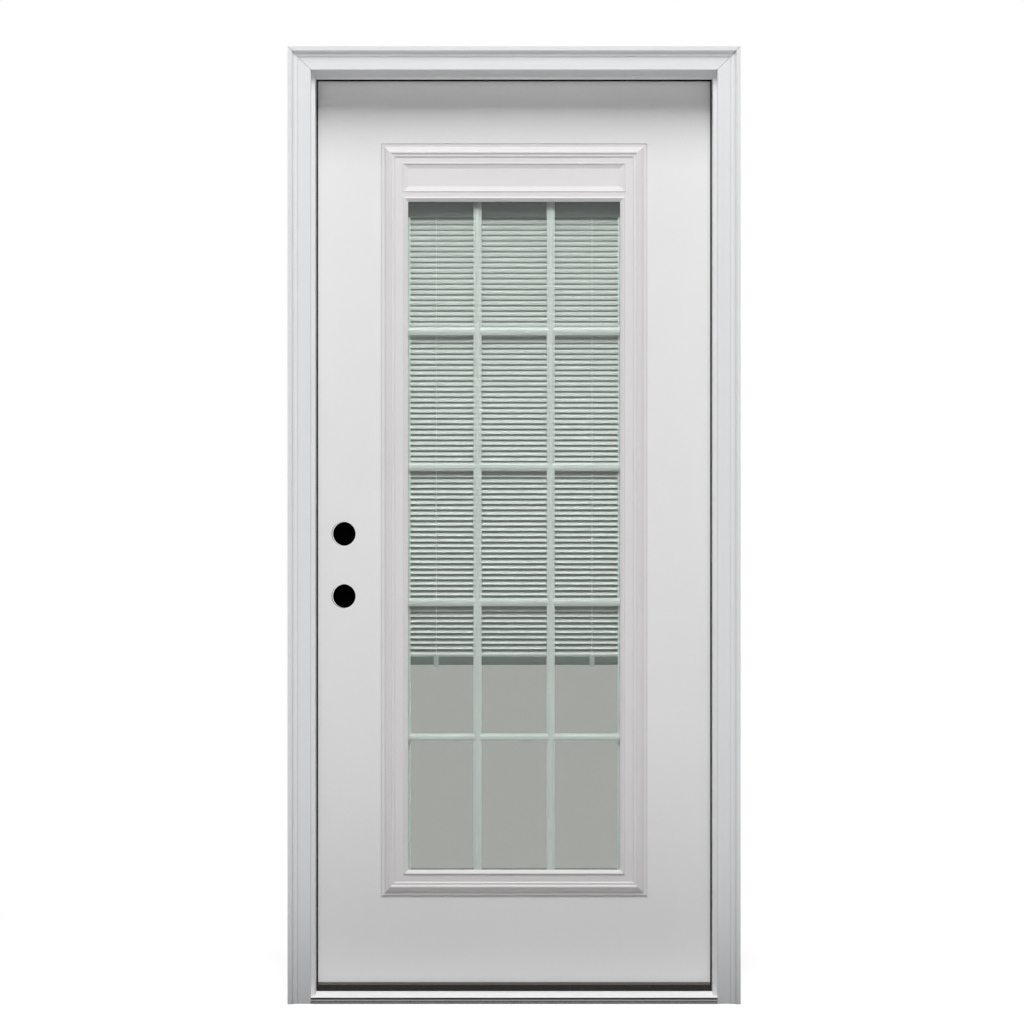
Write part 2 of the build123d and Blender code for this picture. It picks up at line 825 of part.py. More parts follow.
def blind_slider():
    """The hand slider that rides on its guide."""
    x0, x1 = operator_place()
    y0 = pane_in + seat_gap + operator_depth + seat_gap
    z0 = glass_z1 - operator_length / 2
    body = block(x0, x1, y0, y0 + slider_depth, z0, z0 + slider_height)
    return chamfer(body.edges().filter_by(Axis.Y), slider_chamfer)


nodes = {
    "brickmould_left": brickmould_left(),
    "brickmould_right": mirror(brickmould_left(), about=Plane.YZ),
    "brickmould_head": brickmould_head(),
    "latch_jamb": latch_jamb(),
    "hinge_jamb": hinge_jamb(),
    "head_jamb": head_jamb(),
    "sill_base": sill_base(),
    "sill_deck": sill_deck(),
    "sill_cap": sill_cap(),
    "weatherstrip_left": weatherstrip_left(),
    "weatherstrip_right": mirror(weatherstrip_left(), about=Plane.YZ),
    "weatherstrip_head": weatherstrip_head(),
    "exterior_skin": exterior_skin(),
    "interior_skin": interior_skin(),
    "lock_stile": lock_stile(),
    "hinge_stile": hinge_stile(),
    "top_rail": top_rail(),
    "bottom_rail": bottom_rail(),
    "lock_block": lock_block(),
    "foam_core": foam_core(),
    "door_sweep": door_sweep(),
    "lite_frame_exterior": lite_frame_exterior(),
    "lite_frame_interior": lite_frame_interior(),
    "exterior_pane": exterior_pane(),
    "interior_pane": interior_pane(),
    "glass_spacer": glass_spacer(),
    "grille": grille(),
    "blind_headrail": blind_headrail(),
    "blind_slats": blind_slats(),
    "blind_bottom_rail": blind_bottom_rail(),
    "blind_ladder_strings": blind_ladder_strings(),
    "blind_side_channels": blind_side_channels(),
    "blind_clips": blind_clips(),
    "blind_operator": blind_operator(),
    "blind_slider": blind_slider(),
}

frame_knuckles = [index for index in range(hinge_knuckles) if index % 2 == 0]
door_knuckles = [index for index in range(hinge_knuckles) if index % 2 == 1]
for place, z in hinge_places.items():
    nodes[f"hinge_{place}_frame_leaf"] = hinge_leaf(z, rabbet_x, frame_knuckles)
    nodes[f"hinge_{place}_door_leaf"] = hinge_leaf(z, slab_edge, door_knuckles)
    nodes[f"hinge_{place}_pin"] = hinge_pin(z)

for name, solid in nodes.items():
    export_step(solid, f"parts/{name}.step")
    print(f"{name}: {len(solid.solids())} solid(s), {solid.volume / 1000:.1f} cm3")
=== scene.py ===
# %% [markdown]
# # A prehung front door
# The subject is an outside door hung in its own frame: a smooth moulded slab with one tall pane of
# insulated glass, a white grille and a slat blind between the two panes, a flat casing round it and a sill
# under it. The solid model has every hard piece at its true size. This lesson gives each piece the finish
# of its real material and adds the small pieces that a joiner fits last: the hinge screws and the covers
# over the screws of the inside lite frame.

# %% Load the solid model
import math

import bpy
from mathutils import Matrix, Vector


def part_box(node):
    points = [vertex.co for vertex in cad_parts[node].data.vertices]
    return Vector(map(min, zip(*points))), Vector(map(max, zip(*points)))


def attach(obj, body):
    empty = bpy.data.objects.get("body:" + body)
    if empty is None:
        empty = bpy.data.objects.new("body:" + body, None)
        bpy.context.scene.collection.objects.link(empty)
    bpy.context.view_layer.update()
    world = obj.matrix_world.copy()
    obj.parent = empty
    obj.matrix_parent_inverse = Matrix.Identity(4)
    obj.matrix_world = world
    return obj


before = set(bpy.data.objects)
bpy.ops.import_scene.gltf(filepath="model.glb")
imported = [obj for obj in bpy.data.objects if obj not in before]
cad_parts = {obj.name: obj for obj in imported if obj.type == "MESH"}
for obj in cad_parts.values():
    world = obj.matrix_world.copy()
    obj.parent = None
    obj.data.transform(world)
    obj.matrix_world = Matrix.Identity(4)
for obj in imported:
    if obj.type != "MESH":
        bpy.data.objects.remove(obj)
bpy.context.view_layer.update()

# %% [markdown]
# # The camera
# The door was pictured square on, from far enough away that its sides hardly converge. A long lens at nine
# and a half metres gives that. The lens axis is level, so upright edges stay upright, and a small shift
# sets the door in the picture as it was, a little nearer to the bottom than to the top.

# %% Set the camera
camera_data = bpy.data.cameras.new("camera")
camera_data.sensor_width = 36.0
camera_data.lens = 150.6
camera_data.shift_x = -0.00205
camera_data.shift_y = 0.0251
camera_data.clip_end = 400.0
camera = bpy.data.objects.new("camera", camera_data)
camera.location = (0.0, -9.532, 1.035)
camera.rotation_euler = (math.radians(90.0), 0.0, 0.0)
bpy.context.scene.collection.objects.link(camera)
bpy.context.scene.camera = camera
bpy.context.scene.view_settings.view_transform = "Standard"
print("lens:", camera_data.lens, "mm, distance:", -camera.location.y, "m")

# %% [markdown]
# # Colours, sizes and nodes
# Paint makers give colours as sRGB hex values, while a shader works with linear light, so one function
# turns the first into the second. Patterns are known in millimetres, while a texture's scale counts its
# repeats in a metre, so another function turns a size into a scale. A third adds one node with its settings
# and its links.


# %% Small helpers for materials
def linear(hex_colour):
    """An sRGB hex colour as linear red, green, blue and full alpha."""
    parts = [int(hex_colour[i : i + 2], 16) / 255 for i in (1, 3, 5)]
    return [p / 12.92 if p <= 0.04045 else ((p + 0.055) / 1.055) ** 2.4 for p in parts] + [1.0]


def repeats(size_mm):
    """The texture scale whose pattern is about this many millimetres across."""
    return 1000.0 / size_mm


def add(tree, kind, settings=None, values=None, links=None):
    """One node, with its settings, its unlinked values and the outputs that it takes."""
    made = tree.nodes.new(kind)
    for name, value in (settings or {}).items():
        setattr(made, name, value)
    for name, value in (values or {}).items():
        made.inputs[name].default_value = value
    for name, output in (links or {}).items():
        tree.links.new(output, made.inputs[name])
    return made


def blank_material(name):
    """A material with an empty node tree and its output."""
    made = bpy.data.materials.new(name)
    made.use_nodes = True
    made.node_tree.nodes.clear()
    return made, made.node_tree, add(made.node_tree, "ShaderNodeOutputMaterial")


def dress(material, *node_names):
    """Gives carried-over nodes their finish."""
    for name in node_names:
        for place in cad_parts[name].material_slots:
            place.material = material
    print(material.name, "on", ", ".join(node_names))


# %% [markdown]
# # Steps of a finish
# Nearly every finish on this door is made in the same steps. A noise that stays with the piece, drawn out
# along the grain where there is one, shifts the colour a little, changes the gloss and cuts a very shallow
# relief. Each step is one small function, so a material below reads as a list of what was done to it.


# %% Patterns, colour, gloss and relief
def own_place(tree, stretch=None):
    """Coordinates that stay with the piece. A small factor draws a pattern out along its axis."""
    place = add(tree, "ShaderNodeTexCoord").outputs["Object"]
    if stretch is None:
        return place
    return add(tree, "ShaderNodeMapping", values={"Scale": stretch}, links={"Vector": place}).outputs[0]


def noise(tree, place, size_mm, detail, distortion=0.0):
    """A noise whose blotches are about this many millimetres across."""
    values = {"Scale": repeats(size_mm), "Detail": detail, "Distortion": distortion}
    return add(tree, "ShaderNodeTexNoise", values=values, links={"Vector": place}).outputs["Fac"]


def colour_between(tree, low_hex, high_hex, share):
    """A colour between two."""
    ends = {6: linear(low_hex), 7: linear(high_hex)}
    return add(tree, "ShaderNodeMix", {"data_type": "RGBA"}, ends, {0: share}).outputs[2]


def number_between(tree, low, high, share):
    """A number between two."""
    ends = {"To Min": low, "To Max": high}
    return add(tree, "ShaderNodeMapRange", values=ends, links={"Value": share}).outputs["Result"]


def soft_edges(tree, radius_mm):
    """Normals that round the arrises for the light."""
    return add(tree, "ShaderNodeBevel", {"samples": 4}, {"Radius": radius_mm / 1000.0}).outputs["Normal"]


def relief(tree, height, depth_mm, strength, under=None):
    """A bump of that depth, on top of the normals under it if there are any."""
    values = {"Strength": strength, "Distance": depth_mm / 1000.0}
    links = {"Height": height}
    if under is not None:
        links["Normal"] = under
    return add(tree, "ShaderNodeBump", values=values, links=links).outputs["Normal"]


def surface(tree, output, plain, colour, normal=None, roughness=None):
    """The shader itself: plain numbers on its own sockets, and a node's output for what varies."""
    varied = {"Base Color": colour, "Normal": normal, "Roughness": roughness}
    links = {name: source for name, source in varied.items() if source is not None}
    shader = add(tree, "ShaderNodeBsdfPrincipled", values=plain, links=links)
    tree.links.new(shader.outputs[0], output.inputs["Surface"])


# %% [markdown]
# # Light
# A showroom picture of a white door needs a soft key that still models the mouldings. The key is an upright
# soft box in front of the door and well above it, so that the head casing throws a short soft shadow on the
# top of the slab and the light falls off gently towards the sill. It is narrow, which keeps the shadows
# beside the stops thin. A weak, narrow beam from above the camera reaches into the rebates. A lamp behind
# the door lights its back, and a weak beam on each side lights its edges, for whoever walks round it. All
# five are soft boxes, so one function makes them. They don't show in the panes: a lamp's light comes
# through glass as shadow rays do, and would count twice if the bent rays of the glass met it too.


# %% Soft boxes
def soft_box(name, width, height, watts, place, aim):
    """A rectangular lamp of that size in metres, turned towards a point."""
    data = bpy.data.lights.new(name, "AREA")
    data.shape = "RECTANGLE"
    data.size = width
    data.size_y = height
    data.energy = watts
    lamp = bpy.data.objects.new(name, data)
    lamp.location = place
    lamp.rotation_euler = (Vector(aim) - Vector(place)).to_track_quat("-Z", "Y").to_euler()
    lamp.visible_camera = False
    lamp.visible_transmission = False
    bpy.context.scene.collection.objects.link(lamp)
    print(name, watts, "W at", place)
    return lamp


soft_box("soft_key", 1.4, 3.5, 516.0, (0.0, -4.2, 7.5), (0.0, 0.0, 2.0))
front_fill = soft_box("front_fill", 4.0, 2.4, 1.1, (0.0, -9.0, 2.8), (0.0, 0.0, 1.5))
front_fill.data.spread = math.radians(38.0)
front_fill.visible_glossy = False
back_fill = soft_box("back_fill", 3.0, 2.0, 170.0, (0.0, 6.0, 3.6), (0.0, 0.0, 1.2))
back_fill.visible_glossy = False
for side in (-1, 1):
    side_fill = soft_box(f"side_fill_{side}", 2.0, 2.4, 6.5, (side * 5.0, 1.2, 2.8), (0.0, 0.1, 1.1))
    side_fill.data.spread = math.radians(40.0)
    side_fill.visible_glossy = False

# %% [markdown]
# # The backdrop
# The backdrop is pure white for what the eye sees, straight or in a gloss or a pane. Light that has been
# scattered by a surface finds a much dimmer sky there, so the white round the door adds no light to it.
# Light that reaches the blind through a pane is counted by the shadow rays already, so for bent rays after
# a scatter the sky is dark.


# %% What counts as seen
def share_seen(tree):
    """Outputs that are 1 for what the eye sees, straight or in gloss or glass, and 1 for unbent light."""
    ray = add(tree, "ShaderNodeLightPath")
    gloss = add(
        tree, "ShaderNodeMath", {"operation": "MAXIMUM"},
        links={0: ray.outputs["Is Camera Ray"], 1: ray.outputs["Is Glossy Ray"]},
    )
    pane = add(
        tree, "ShaderNodeMath", {"operation": "MAXIMUM"},
        links={0: gloss.outputs[0], 1: ray.outputs["Is Transmission Ray"]},
    )
    unscattered = add(
        tree, "ShaderNodeMath", {"operation": "LESS_THAN"}, {1: 0.5}, {0: ray.outputs["Diffuse Depth"]}
    )
    seen = add(
        tree, "ShaderNodeMath", {"operation": "MULTIPLY"},
        links={0: pane.outputs[0], 1: unscattered.outputs[0]},
    )
    straight = add(
        tree, "ShaderNodeMath", {"operation": "SUBTRACT"}, {0: 1.0}, {1: ray.outputs["Is Transmission Ray"]}
    )
    return seen.outputs[0], straight.outputs[0]


# %% The sky and the white backdrop
sky = bpy.data.worlds.new("studio")
sky.use_nodes = True
sky.node_tree.nodes.clear()
bpy.context.scene.world = sky
tree = sky.node_tree
seen, straight = share_seen(tree)
pure_white = linear("#ffffff")
sky_strength = 0.05
level = add(tree, "ShaderNodeMath", {"operation": "MULTIPLY"}, {1: sky_strength}, {0: straight})
fill = add(tree, "ShaderNodeBackground", values={"Color": pure_white}, links={"Strength": level.outputs[0]})
white = add(tree, "ShaderNodeBackground", values={"Color": pure_white, "Strength": 1.0})
mixed = add(tree, "ShaderNodeMixShader", links={0: seen, 1: fill.outputs[0], 2: white.outputs[0]})
add(tree, "ShaderNodeOutputWorld", links={"Surface": mixed.outputs[0]})
print("sky strength:", sky_strength)

# %% [markdown]
# # The floor
# The floor is a pale sheet that runs on to the horizon. Near the door it is ordinary matt paint with a
# little of the backdrop's white added, so it keeps the door's soft shadow. Farther off it turns into the
# white of the backdrop, so no horizon shows. For the light that bounces up from it the floor is darker, and
# darkest close to the door, where the door itself shades it. That is what makes the casing's feet the
# darkest part of a white door.

# %% Floor sheet
bpy.ops.object.select_all(action="DESELECT")
bpy.ops.mesh.primitive_plane_add(size=120.0, location=(0.0, 0.0, 0.0))
floor = bpy.context.object
floor.name = "floor"
print("floor staged,", round(floor.dimensions.x), "m across")

# %% What the eye sees of the floor
paint_reaches = 0.9
backdrop_starts = 2.6
floor_paint, tree, output = blank_material("matt_floor_paint")
place = own_place(tree)
distance = add(tree, "ShaderNodeVectorMath", {"operation": "LENGTH"}, links={0: place})
far = add(
    tree, "ShaderNodeMapRange", {"interpolation_type": "SMOOTHSTEP"},
    {"From Min": paint_reaches, "From Max": backdrop_starts}, {"Value": distance.outputs["Value"]},
)
paint = add(tree, "ShaderNodeBsdfDiffuse", values={"Color": linear("#b4b4b4")})
glow = add(tree, "ShaderNodeEmission", values={"Color": pure_white, "Strength": 0.7})
backdrop = add(tree, "ShaderNodeEmission", values={"Color": pure_white, "Strength": 1.0})
near = add(tree, "ShaderNodeAddShader", links={0: paint.outputs[0], 1: glow.outputs[0]})
shown = add(
    tree, "ShaderNodeMixShader",
    links={0: far.outputs["Result"], 1: near.outputs[0], 2: backdrop.outputs[0]},
)

# %% What the floor bounces up
half_footprint = (0.5, 0.15, 0.0)
darkest_within = 0.1
palest_beyond = 0.55
side = add(tree, "ShaderNodeVectorMath", {"operation": "ABSOLUTE"}, links={0: place})
past = add(
    tree, "ShaderNodeVectorMath", {"operation": "SUBTRACT"}, {1: half_footprint}, {0: side.outputs["Vector"]}
)
ahead = add(
    tree, "ShaderNodeVectorMath", {"operation": "MAXIMUM"}, {1: (0.0, 0.0, 0.0)}, {0: past.outputs["Vector"]}
)
reach = add(tree, "ShaderNodeVectorMath", {"operation": "LENGTH"}, links={0: ahead.outputs["Vector"]})
shade = add(
    tree, "ShaderNodeMapRange", {"interpolation_type": "SMOOTHSTEP"},
    {"From Min": darkest_within, "From Max": palest_beyond}, {"Value": reach.outputs["Value"]},
)
bounce = colour_between(tree, "#050505", "#f0f0f0", shade.outputs["Result"])
dull = add(tree, "ShaderNodeBsdfDiffuse", links={"Color": bounce})
seen = share_seen(tree)[0]
both = add(tree, "ShaderNodeMixShader", links={0: seen, 1: dull.outputs[0], 2: shown.outputs[0]})
tree.links.new(both.outputs[0], output.inputs["Surface"])
floor.data.materials.append(floor_paint)
print("floor dressed in", floor_paint.name)

# %% [markdown]
# # The slab's skins
# The skins are sheet moulding compound, glass fibre in polyester, pressed in a smooth polished mould and
# finished with a satin enamel. Pressing leaves a very shallow waviness a hand's breadth long, and spraying
# leaves a fine orange peel. Both are far too weak to see as shapes and only soften the reflections, so they
# are made as bump. The finish isn't quite even, so colour and roughness drift a little.

# %% Satin enamel on pressed fibreglass
skin, tree, output = blank_material("satin_enamel_on_pressed_fiberglass")
place = own_place(tree)
drift = noise(tree, place, 240, 3.0)
wave = noise(tree, place, 90, 1.0)
peel = noise(tree, place, 2.2, 2.0)
tint = colour_between(tree, "#ececec", "#f1f1f1", drift)
rough = number_between(tree, 0.36, 0.46, drift)
pressed = relief(tree, wave, 0.4, 0.25)
sprayed = relief(tree, peel, 0.06, 0.12, pressed)
surface(tree, output, {"IOR": 1.5}, tint, sprayed, rough)
dress(skin, "exterior_skin", "interior_skin")

# %% [markdown]
# # The casing
# The casing is cellular PVC, foamed plastic that is pushed through a die. The die leaves faint lines along
# the length of each leg, and the skin is a cool satin white. Legs and head are dressed apart, because their
# lines run along different axes: a noise is squeezed across the grain and drawn out along it.


# %% Extruded PVC
def extruded_pvc(name, stretch):
    """Satin white PVC whose die lines run along the axis with the small stretch factor."""
    made, tree, output = blank_material(name)
    lines = noise(tree, own_place(tree, stretch), 3.5, 3.0)
    cells = noise(tree, own_place(tree), 1.4, 2.0)
    tint = colour_between(tree, "#e6e7e9", "#ecedef", lines)
    drawn = relief(tree, lines, 0.1, 0.2, soft_edges(tree, 0.8))
    foamed = relief(tree, cells, 0.04, 0.15, drawn)
    surface(tree, output, {"IOR": 1.53, "Roughness": 0.42}, tint, foamed)
    return made


casing_upright = extruded_pvc("satin_pvc_die_lines_upright", (1.0, 1.0, 0.01))
casing_level = extruded_pvc("satin_pvc_die_lines_level", (0.01, 1.0, 1.0))
dress(casing_upright, "brickmould_left", "brickmould_right")
dress(casing_level, "brickmould_head")

# %% [markdown]
# # The jambs
# The jambs are milled from finger-jointed pine and coated with a factory primer. Primer is rolled or
# flow-coated, so it is duller than the casing and follows the grain a little. The grain runs along each
# board: upright in the two sides, level in the head.


# %% Primed pine
def primed_pine(name, stretch):
    """White factory primer over pine whose grain runs along the axis with the small stretch factor."""
    made, tree, output = blank_material(name)
    grain = noise(tree, own_place(tree, stretch), 2.5, 4.0, 0.4)
    tint = colour_between(tree, "#e8e8e9", "#eeeeef", grain)
    grained = relief(tree, grain, 0.12, 0.35, soft_edges(tree, 0.8))
    surface(tree, output, {"IOR": 1.5, "Roughness": 0.55}, tint, grained)
    return made


jamb_upright = primed_pine("factory_primer_on_upright_pine", (1.0, 1.0, 0.03))
jamb_level = primed_pine("factory_primer_on_level_pine", (0.03, 1.0, 1.0))
dress(jamb_upright, "latch_jamb", "hinge_jamb")
dress(jamb_level, "head_jamb")

# %% [markdown]
# # The lite frame
# The moulded frame that clamps the glass is injection-moulded polypropylene, a touch warmer and greyer than
# the slab round it. The mould is finely textured, which makes the plastic dull satin. Its arrises are a
# little round where the melt doesn't fill the mould's corners, so a bevel node softens them for the light.

# %% Moulded polypropylene
lite_plastic, tree, output = blank_material("satin_moulded_polypropylene")
place = own_place(tree)
flow = noise(tree, place, 160, 2.0)
spark = noise(tree, place, 0.9, 2.0)
tint = colour_between(tree, "#e3e1e1", "#e8e6e6", flow)
rough = number_between(tree, 0.6, 0.68, flow)
textured = relief(tree, spark, 0.04, 0.15, soft_edges(tree, 0.9))
surface(tree, output, {"IOR": 1.49}, tint, textured, rough)
dress(lite_plastic, "lite_frame_exterior", "lite_frame_interior")

# %% [markdown]
# # The sill
# The sill is three materials. Its sloping deck is a folded aluminium sheet with a matt white enamel that
# doesn't get slippery. The rolling mill leaves long fine streaks in the sheet, which still show under the
# enamel as a slight change of its dullness. The groove in the folded nose is painted grey between two
# heights, a painted shade for the shadow that falls in it. The base under the deck is a wood and plastic
# composite, grey with darker flecks of wood flour, and the cap that the door closes on is the same
# composite, sanded along its length, in a near-black bronze that is partly its pigment and partly painted
# shade for the shadow under the door.

# %% White enamel on rolled aluminium
# painted shade: between these two heights the deck turns grey for the shadow in the nose groove
groove_low = 0.0096
groove_high = 0.0135
deck_enamel, tree, output = blank_material("white_enamel_on_rolled_aluminium")
streaks = noise(tree, own_place(tree, (0.01, 1.0, 1.0)), 1.2, 3.0)
tint = colour_between(tree, "#fafafa", "#ffffff", streaks)
height = add(tree, "ShaderNodeSeparateXYZ", links={0: own_place(tree)}).outputs["Z"]
above = add(tree, "ShaderNodeMath", {"operation": "GREATER_THAN"}, {1: groove_low}, {0: height})
below = add(tree, "ShaderNodeMath", {"operation": "LESS_THAN"}, {1: groove_high}, {0: height})
groove = add(
    tree, "ShaderNodeMath", {"operation": "MULTIPLY"}, links={0: above.outputs[0], 1: below.outputs[0]}
)
groove_painted_shade = add(
    tree, "ShaderNodeMix", {"data_type": "RGBA"}, {7: linear("#838286")}, {0: groove.outputs[0], 6: tint}
)
rough = number_between(tree, 0.6, 0.72, streaks)
rolled = relief(tree, streaks, 0.03, 0.1)
surface(tree, output, {"IOR": 1.5, "Specular IOR Level": 0.05}, groove_painted_shade.outputs[2], rolled, rough)
dress(deck_enamel, "sill_deck")


# %% Wood and plastic composite
def flecked_composite(name, dark, pale, roughness):
    """Sanded composite with flecks of wood flour 2 mm wide and about 6 mm long."""
    made, tree, output = blank_material(name)
    flecks = noise(tree, own_place(tree, (0.35, 1.0, 1.0)), 2.0, 5.0)
    tint = add(tree, "ShaderNodeValToRGB", links={"Fac": flecks})
    tint.color_ramp.elements[0].position = 0.36
    tint.color_ramp.elements[0].color = linear(dark)
    tint.color_ramp.elements[1].position = 0.56
    tint.color_ramp.elements[1].color = linear(pale)
    sanded = relief(tree, flecks, 0.1, 0.3)
    surface(tree, output, {"Roughness": roughness}, tint.outputs["Color"], sanded)
    return made


base_composite = flecked_composite("grey_wood_plastic_composite", "#8c8b88", "#a5a4a1", 0.7)
# painted shade: the cap's near-black is partly a dark bronze pigment and partly the shadow under the door
cap_composite_with_painted_shade = flecked_composite("bronze_composite_with_painted_shade", "#17120f", "#221c18", 0.9)
dress(base_composite, "sill_base")
dress(cap_composite_with_painted_shade, "sill_cap")

# %% [markdown]
# # Seals
# The compression seal in the jamb's rabbet is soft foam in a thin black polyethylene skin. The skin
# wrinkles a little and has hardly any sheen. The sweep under the slab is extruded vinyl, a greyish brown,
# with fine marks along its length. It lies in the shade of the slab, so it looks darker than it is.

# %% Polyethylene skin on foam
seal_skin, tree, output = blank_material("black_polyethylene_skin_on_foam")
folds = noise(tree, own_place(tree), 9, 3.0)
tint = colour_between(tree, "#040404", "#0a0a0a", folds)
wrinkled = relief(tree, folds, 0.4, 0.4)
surface(tree, output, {"Roughness": 0.75, "IOR": 1.5, "Specular IOR Level": 0.15}, tint, wrinkled)
dress(seal_skin, "weatherstrip_left", "weatherstrip_right", "weatherstrip_head")

# %% Extruded vinyl sweep
sweep_vinyl, tree, output = blank_material("brown_extruded_vinyl")
lines = noise(tree, own_place(tree, (0.02, 1.0, 1.0)), 1.0, 2.0)
tint = colour_between(tree, "#958d8a", "#a29b98", lines)
drawn = relief(tree, lines, 0.1, 0.2)
surface(tree, output, {"Roughness": 0.6, "IOR": 1.52}, tint, drawn)
dress(sweep_vinyl, "door_sweep")

# %% [markdown]
# # Inside the slab
# Where the slab is bored and where its edges show, three more materials appear: stiles and rails of
# laminated wood sealed with a clear coat, a block of bare wood behind the lock, and the foam that fills the
# rest. The stiles' grain runs upright, so the same stretched noise as in the jambs gives it, here with its
# true colours.


# %% Sealed wood
def sealed_wood(name, dark, pale, roughness):
    """Wood with upright grain about 3 mm wide."""
    made, tree, output = blank_material(name)
    grain = noise(tree, own_place(tree, (1.0, 1.0, 0.04)), 3.0, 6.0, 0.6)
    tint = colour_between(tree, dark, pale, grain)
    grained = relief(tree, grain, 0.1, 0.3)
    surface(tree, output, {"Roughness": roughness}, tint, grained)
    return made


stile_wood = sealed_wood("sealed_laminated_pine", "#b69a72", "#d9c4a0", 0.5)
block_wood = sealed_wood("bare_lock_block_wood", "#a3845a", "#cdb288", 0.75)
dress(stile_wood, "lock_stile", "hinge_stile", "top_rail", "bottom_rail")
dress(block_wood, "lock_block")

# %% Polyurethane foam
core_foam, tree, output = blank_material("cut_polyurethane_foam")
cells = add(tree, "ShaderNodeTexVoronoi", values={"Scale": repeats(1.5)}, links={"Vector": own_place(tree)})
tint = colour_between(tree, "#c9b37d", "#e2d3a4", cells.outputs["Distance"])
cut = relief(tree, cells.outputs["Distance"], 0.4, 0.6)
surface(tree, output, {"Roughness": 0.9}, tint, cut)
dress(core_foam, "foam_core")

# %% [markdown]
# # Glass
# The unit is two panes of float glass. The outer one is clear, with the faint green of iron in the melt.
# The inner one is tinted grey, which is why the lower half of the door, where the blind is up, shows the
# white background as a mid grey. A glass shader bends and reflects what the eye sees, and for the rays that
# only ask whether a lamp is in sight a see-through shader takes its place, because a solid glass shader
# would throw the blind into shadow. The grey pane lets a little more of a lamp's light by than its tint
# says, so that the blind can be made out from inside the house too.


# %% Float glass
def float_glass(name, body_hex, shade_hex):
    """A clear pane: body_hex is what the eye sees through it, shade_hex what is left of a lamp's light."""
    made, tree, output = blank_material(name)
    body = add(
        tree, "ShaderNodeBsdfPrincipled",
        values={"Base Color": linear(body_hex), "Roughness": 0.0, "IOR": 1.5, "Transmission Weight": 1.0},
    )
    open_air = add(tree, "ShaderNodeBsdfTransparent", values={"Color": linear(shade_hex)})
    shadow_ray = add(tree, "ShaderNodeLightPath").outputs["Is Shadow Ray"]
    both = add(
        tree, "ShaderNodeMixShader", links={0: shadow_ray, 1: body.outputs[0], 2: open_air.outputs[0]}
    )
    tree.links.new(both.outputs[0], output.inputs["Surface"])
    return made


clear_glass = float_glass("clear_float_glass", "#e3e8e5", "#e3e8e5")
grey_glass = float_glass("grey_tinted_float_glass", "#acaba6", "#d2d1ce")
dress(clear_glass, "exterior_pane")
dress(grey_glass, "interior_pane")

# %% [markdown]
# # Between the panes
# The spacer that seals the unit is satin anodised aluminium. The grille is roll-formed aluminium with a
# white baked enamel. The slats are thinner strip, 16 mm wide, with a white enamel that is painted light grey
# here, a painted shade for the slats' shadows on each other and the dimmer light behind the glass. The
# blind's rails are grey green and darker still, partly their enamel and partly painted shade for the lite
# frame's shadow on them. The blind's guides are milky acrylic. The clips on the bottom rail are a smokier
# one, which hides them against the rail. Everything here has a slight green from the pane in front of it.

# %% Anodised spacer
spacer_metal, tree, output = blank_material("satin_anodised_aluminium")
lines = noise(tree, own_place(tree), 0.8, 2.0)
tint = colour_between(tree, "#b4b6b5", "#c2c4c3", lines)
rough = number_between(tree, 0.35, 0.5, lines)
surface(tree, output, {"Metallic": 1.0}, tint, roughness=rough)
dress(spacer_metal, "glass_spacer")


# %% Baked enamel on strip
def baked_enamel(name, low_hex, high_hex, roughness):
    """Enamel on roll-formed strip, with streaks along X about 1 mm wide."""
    made, tree, output = blank_material(name)
    streaks = noise(tree, own_place(tree, (0.02, 1.0, 1.0)), 1.0, 2.0)
    tint = colour_between(tree, low_hex, high_hex, streaks)
    rolled = relief(tree, streaks, 0.03, 0.1)
    surface(tree, output, {"Roughness": roughness, "IOR": 1.5}, tint, rolled)
    return made


grille_enamel = baked_enamel("white_enamel_on_grille_bar", "#dadad9", "#e0e1e0", 0.4)
# painted shade: the slats' white enamel is greyed here for their shadows on each other and the dim light
# behind the glass
slat_enamel_with_painted_shade = baked_enamel("white_slat_enamel_greyed_as_painted_shade", "#b0b1af", "#b9bab8", 0.35)
# painted shade: the rails' dark grey green is partly their enamel and partly the lite frame's shadow painted
# into it
rail_enamel_with_painted_shade = baked_enamel("grey_green_rail_enamel_darkened_as_painted_shade", "#555f59", "#5e6862", 0.4)
dress(grille_enamel, "grille")
dress(slat_enamel_with_painted_shade, "blind_slats")
dress(rail_enamel_with_painted_shade, "blind_headrail", "blind_bottom_rail")


# %% Acrylic guides and clips
def moulded_acrylic(name, low_hex, high_hex):
    """Milky acrylic that lets a little light sink in."""
    made, tree, output = blank_material(name)
    haze = noise(tree, own_place(tree), 12, 2.0)
    tint = colour_between(tree, low_hex, high_hex, haze)
    plain = {"Roughness": 0.25, "IOR": 1.49, "Subsurface Weight": 0.2, "Subsurface Scale": 0.002}
    surface(tree, output, plain, tint)
    return made


guide_acrylic = moulded_acrylic("milky_acrylic_guide", "#e6eae8", "#f0f3f1")
clip_acrylic = moulded_acrylic("smoky_acrylic_clip", "#a3a8a4", "#afb4b0")
dress(guide_acrylic, "blind_side_channels")
dress(clip_acrylic, "blind_clips")

# %% Braided polyester cord
cord_fibre, tree, output = blank_material("braided_polyester_cord")
braid = add(
    tree, "ShaderNodeTexWave", {"bands_direction": "Z"},
    {"Scale": repeats(9), "Distortion": 1.5}, {"Vector": own_place(tree)},
)
tint = colour_between(tree, "#d4d6d2", "#e2e4e0", braid.outputs["Fac"])
surface(tree, output, {"Roughness": 0.8}, tint)
dress(cord_fibre, "blind_ladder_strings")

# %% [markdown]
# # The hand slider
# On the inside of the house a slider runs on a slim moulded track at the edge of the pane, and a magnet in
# it carries the blind up and down. Both are satin moulded plastic with a very fine grain from the mould.

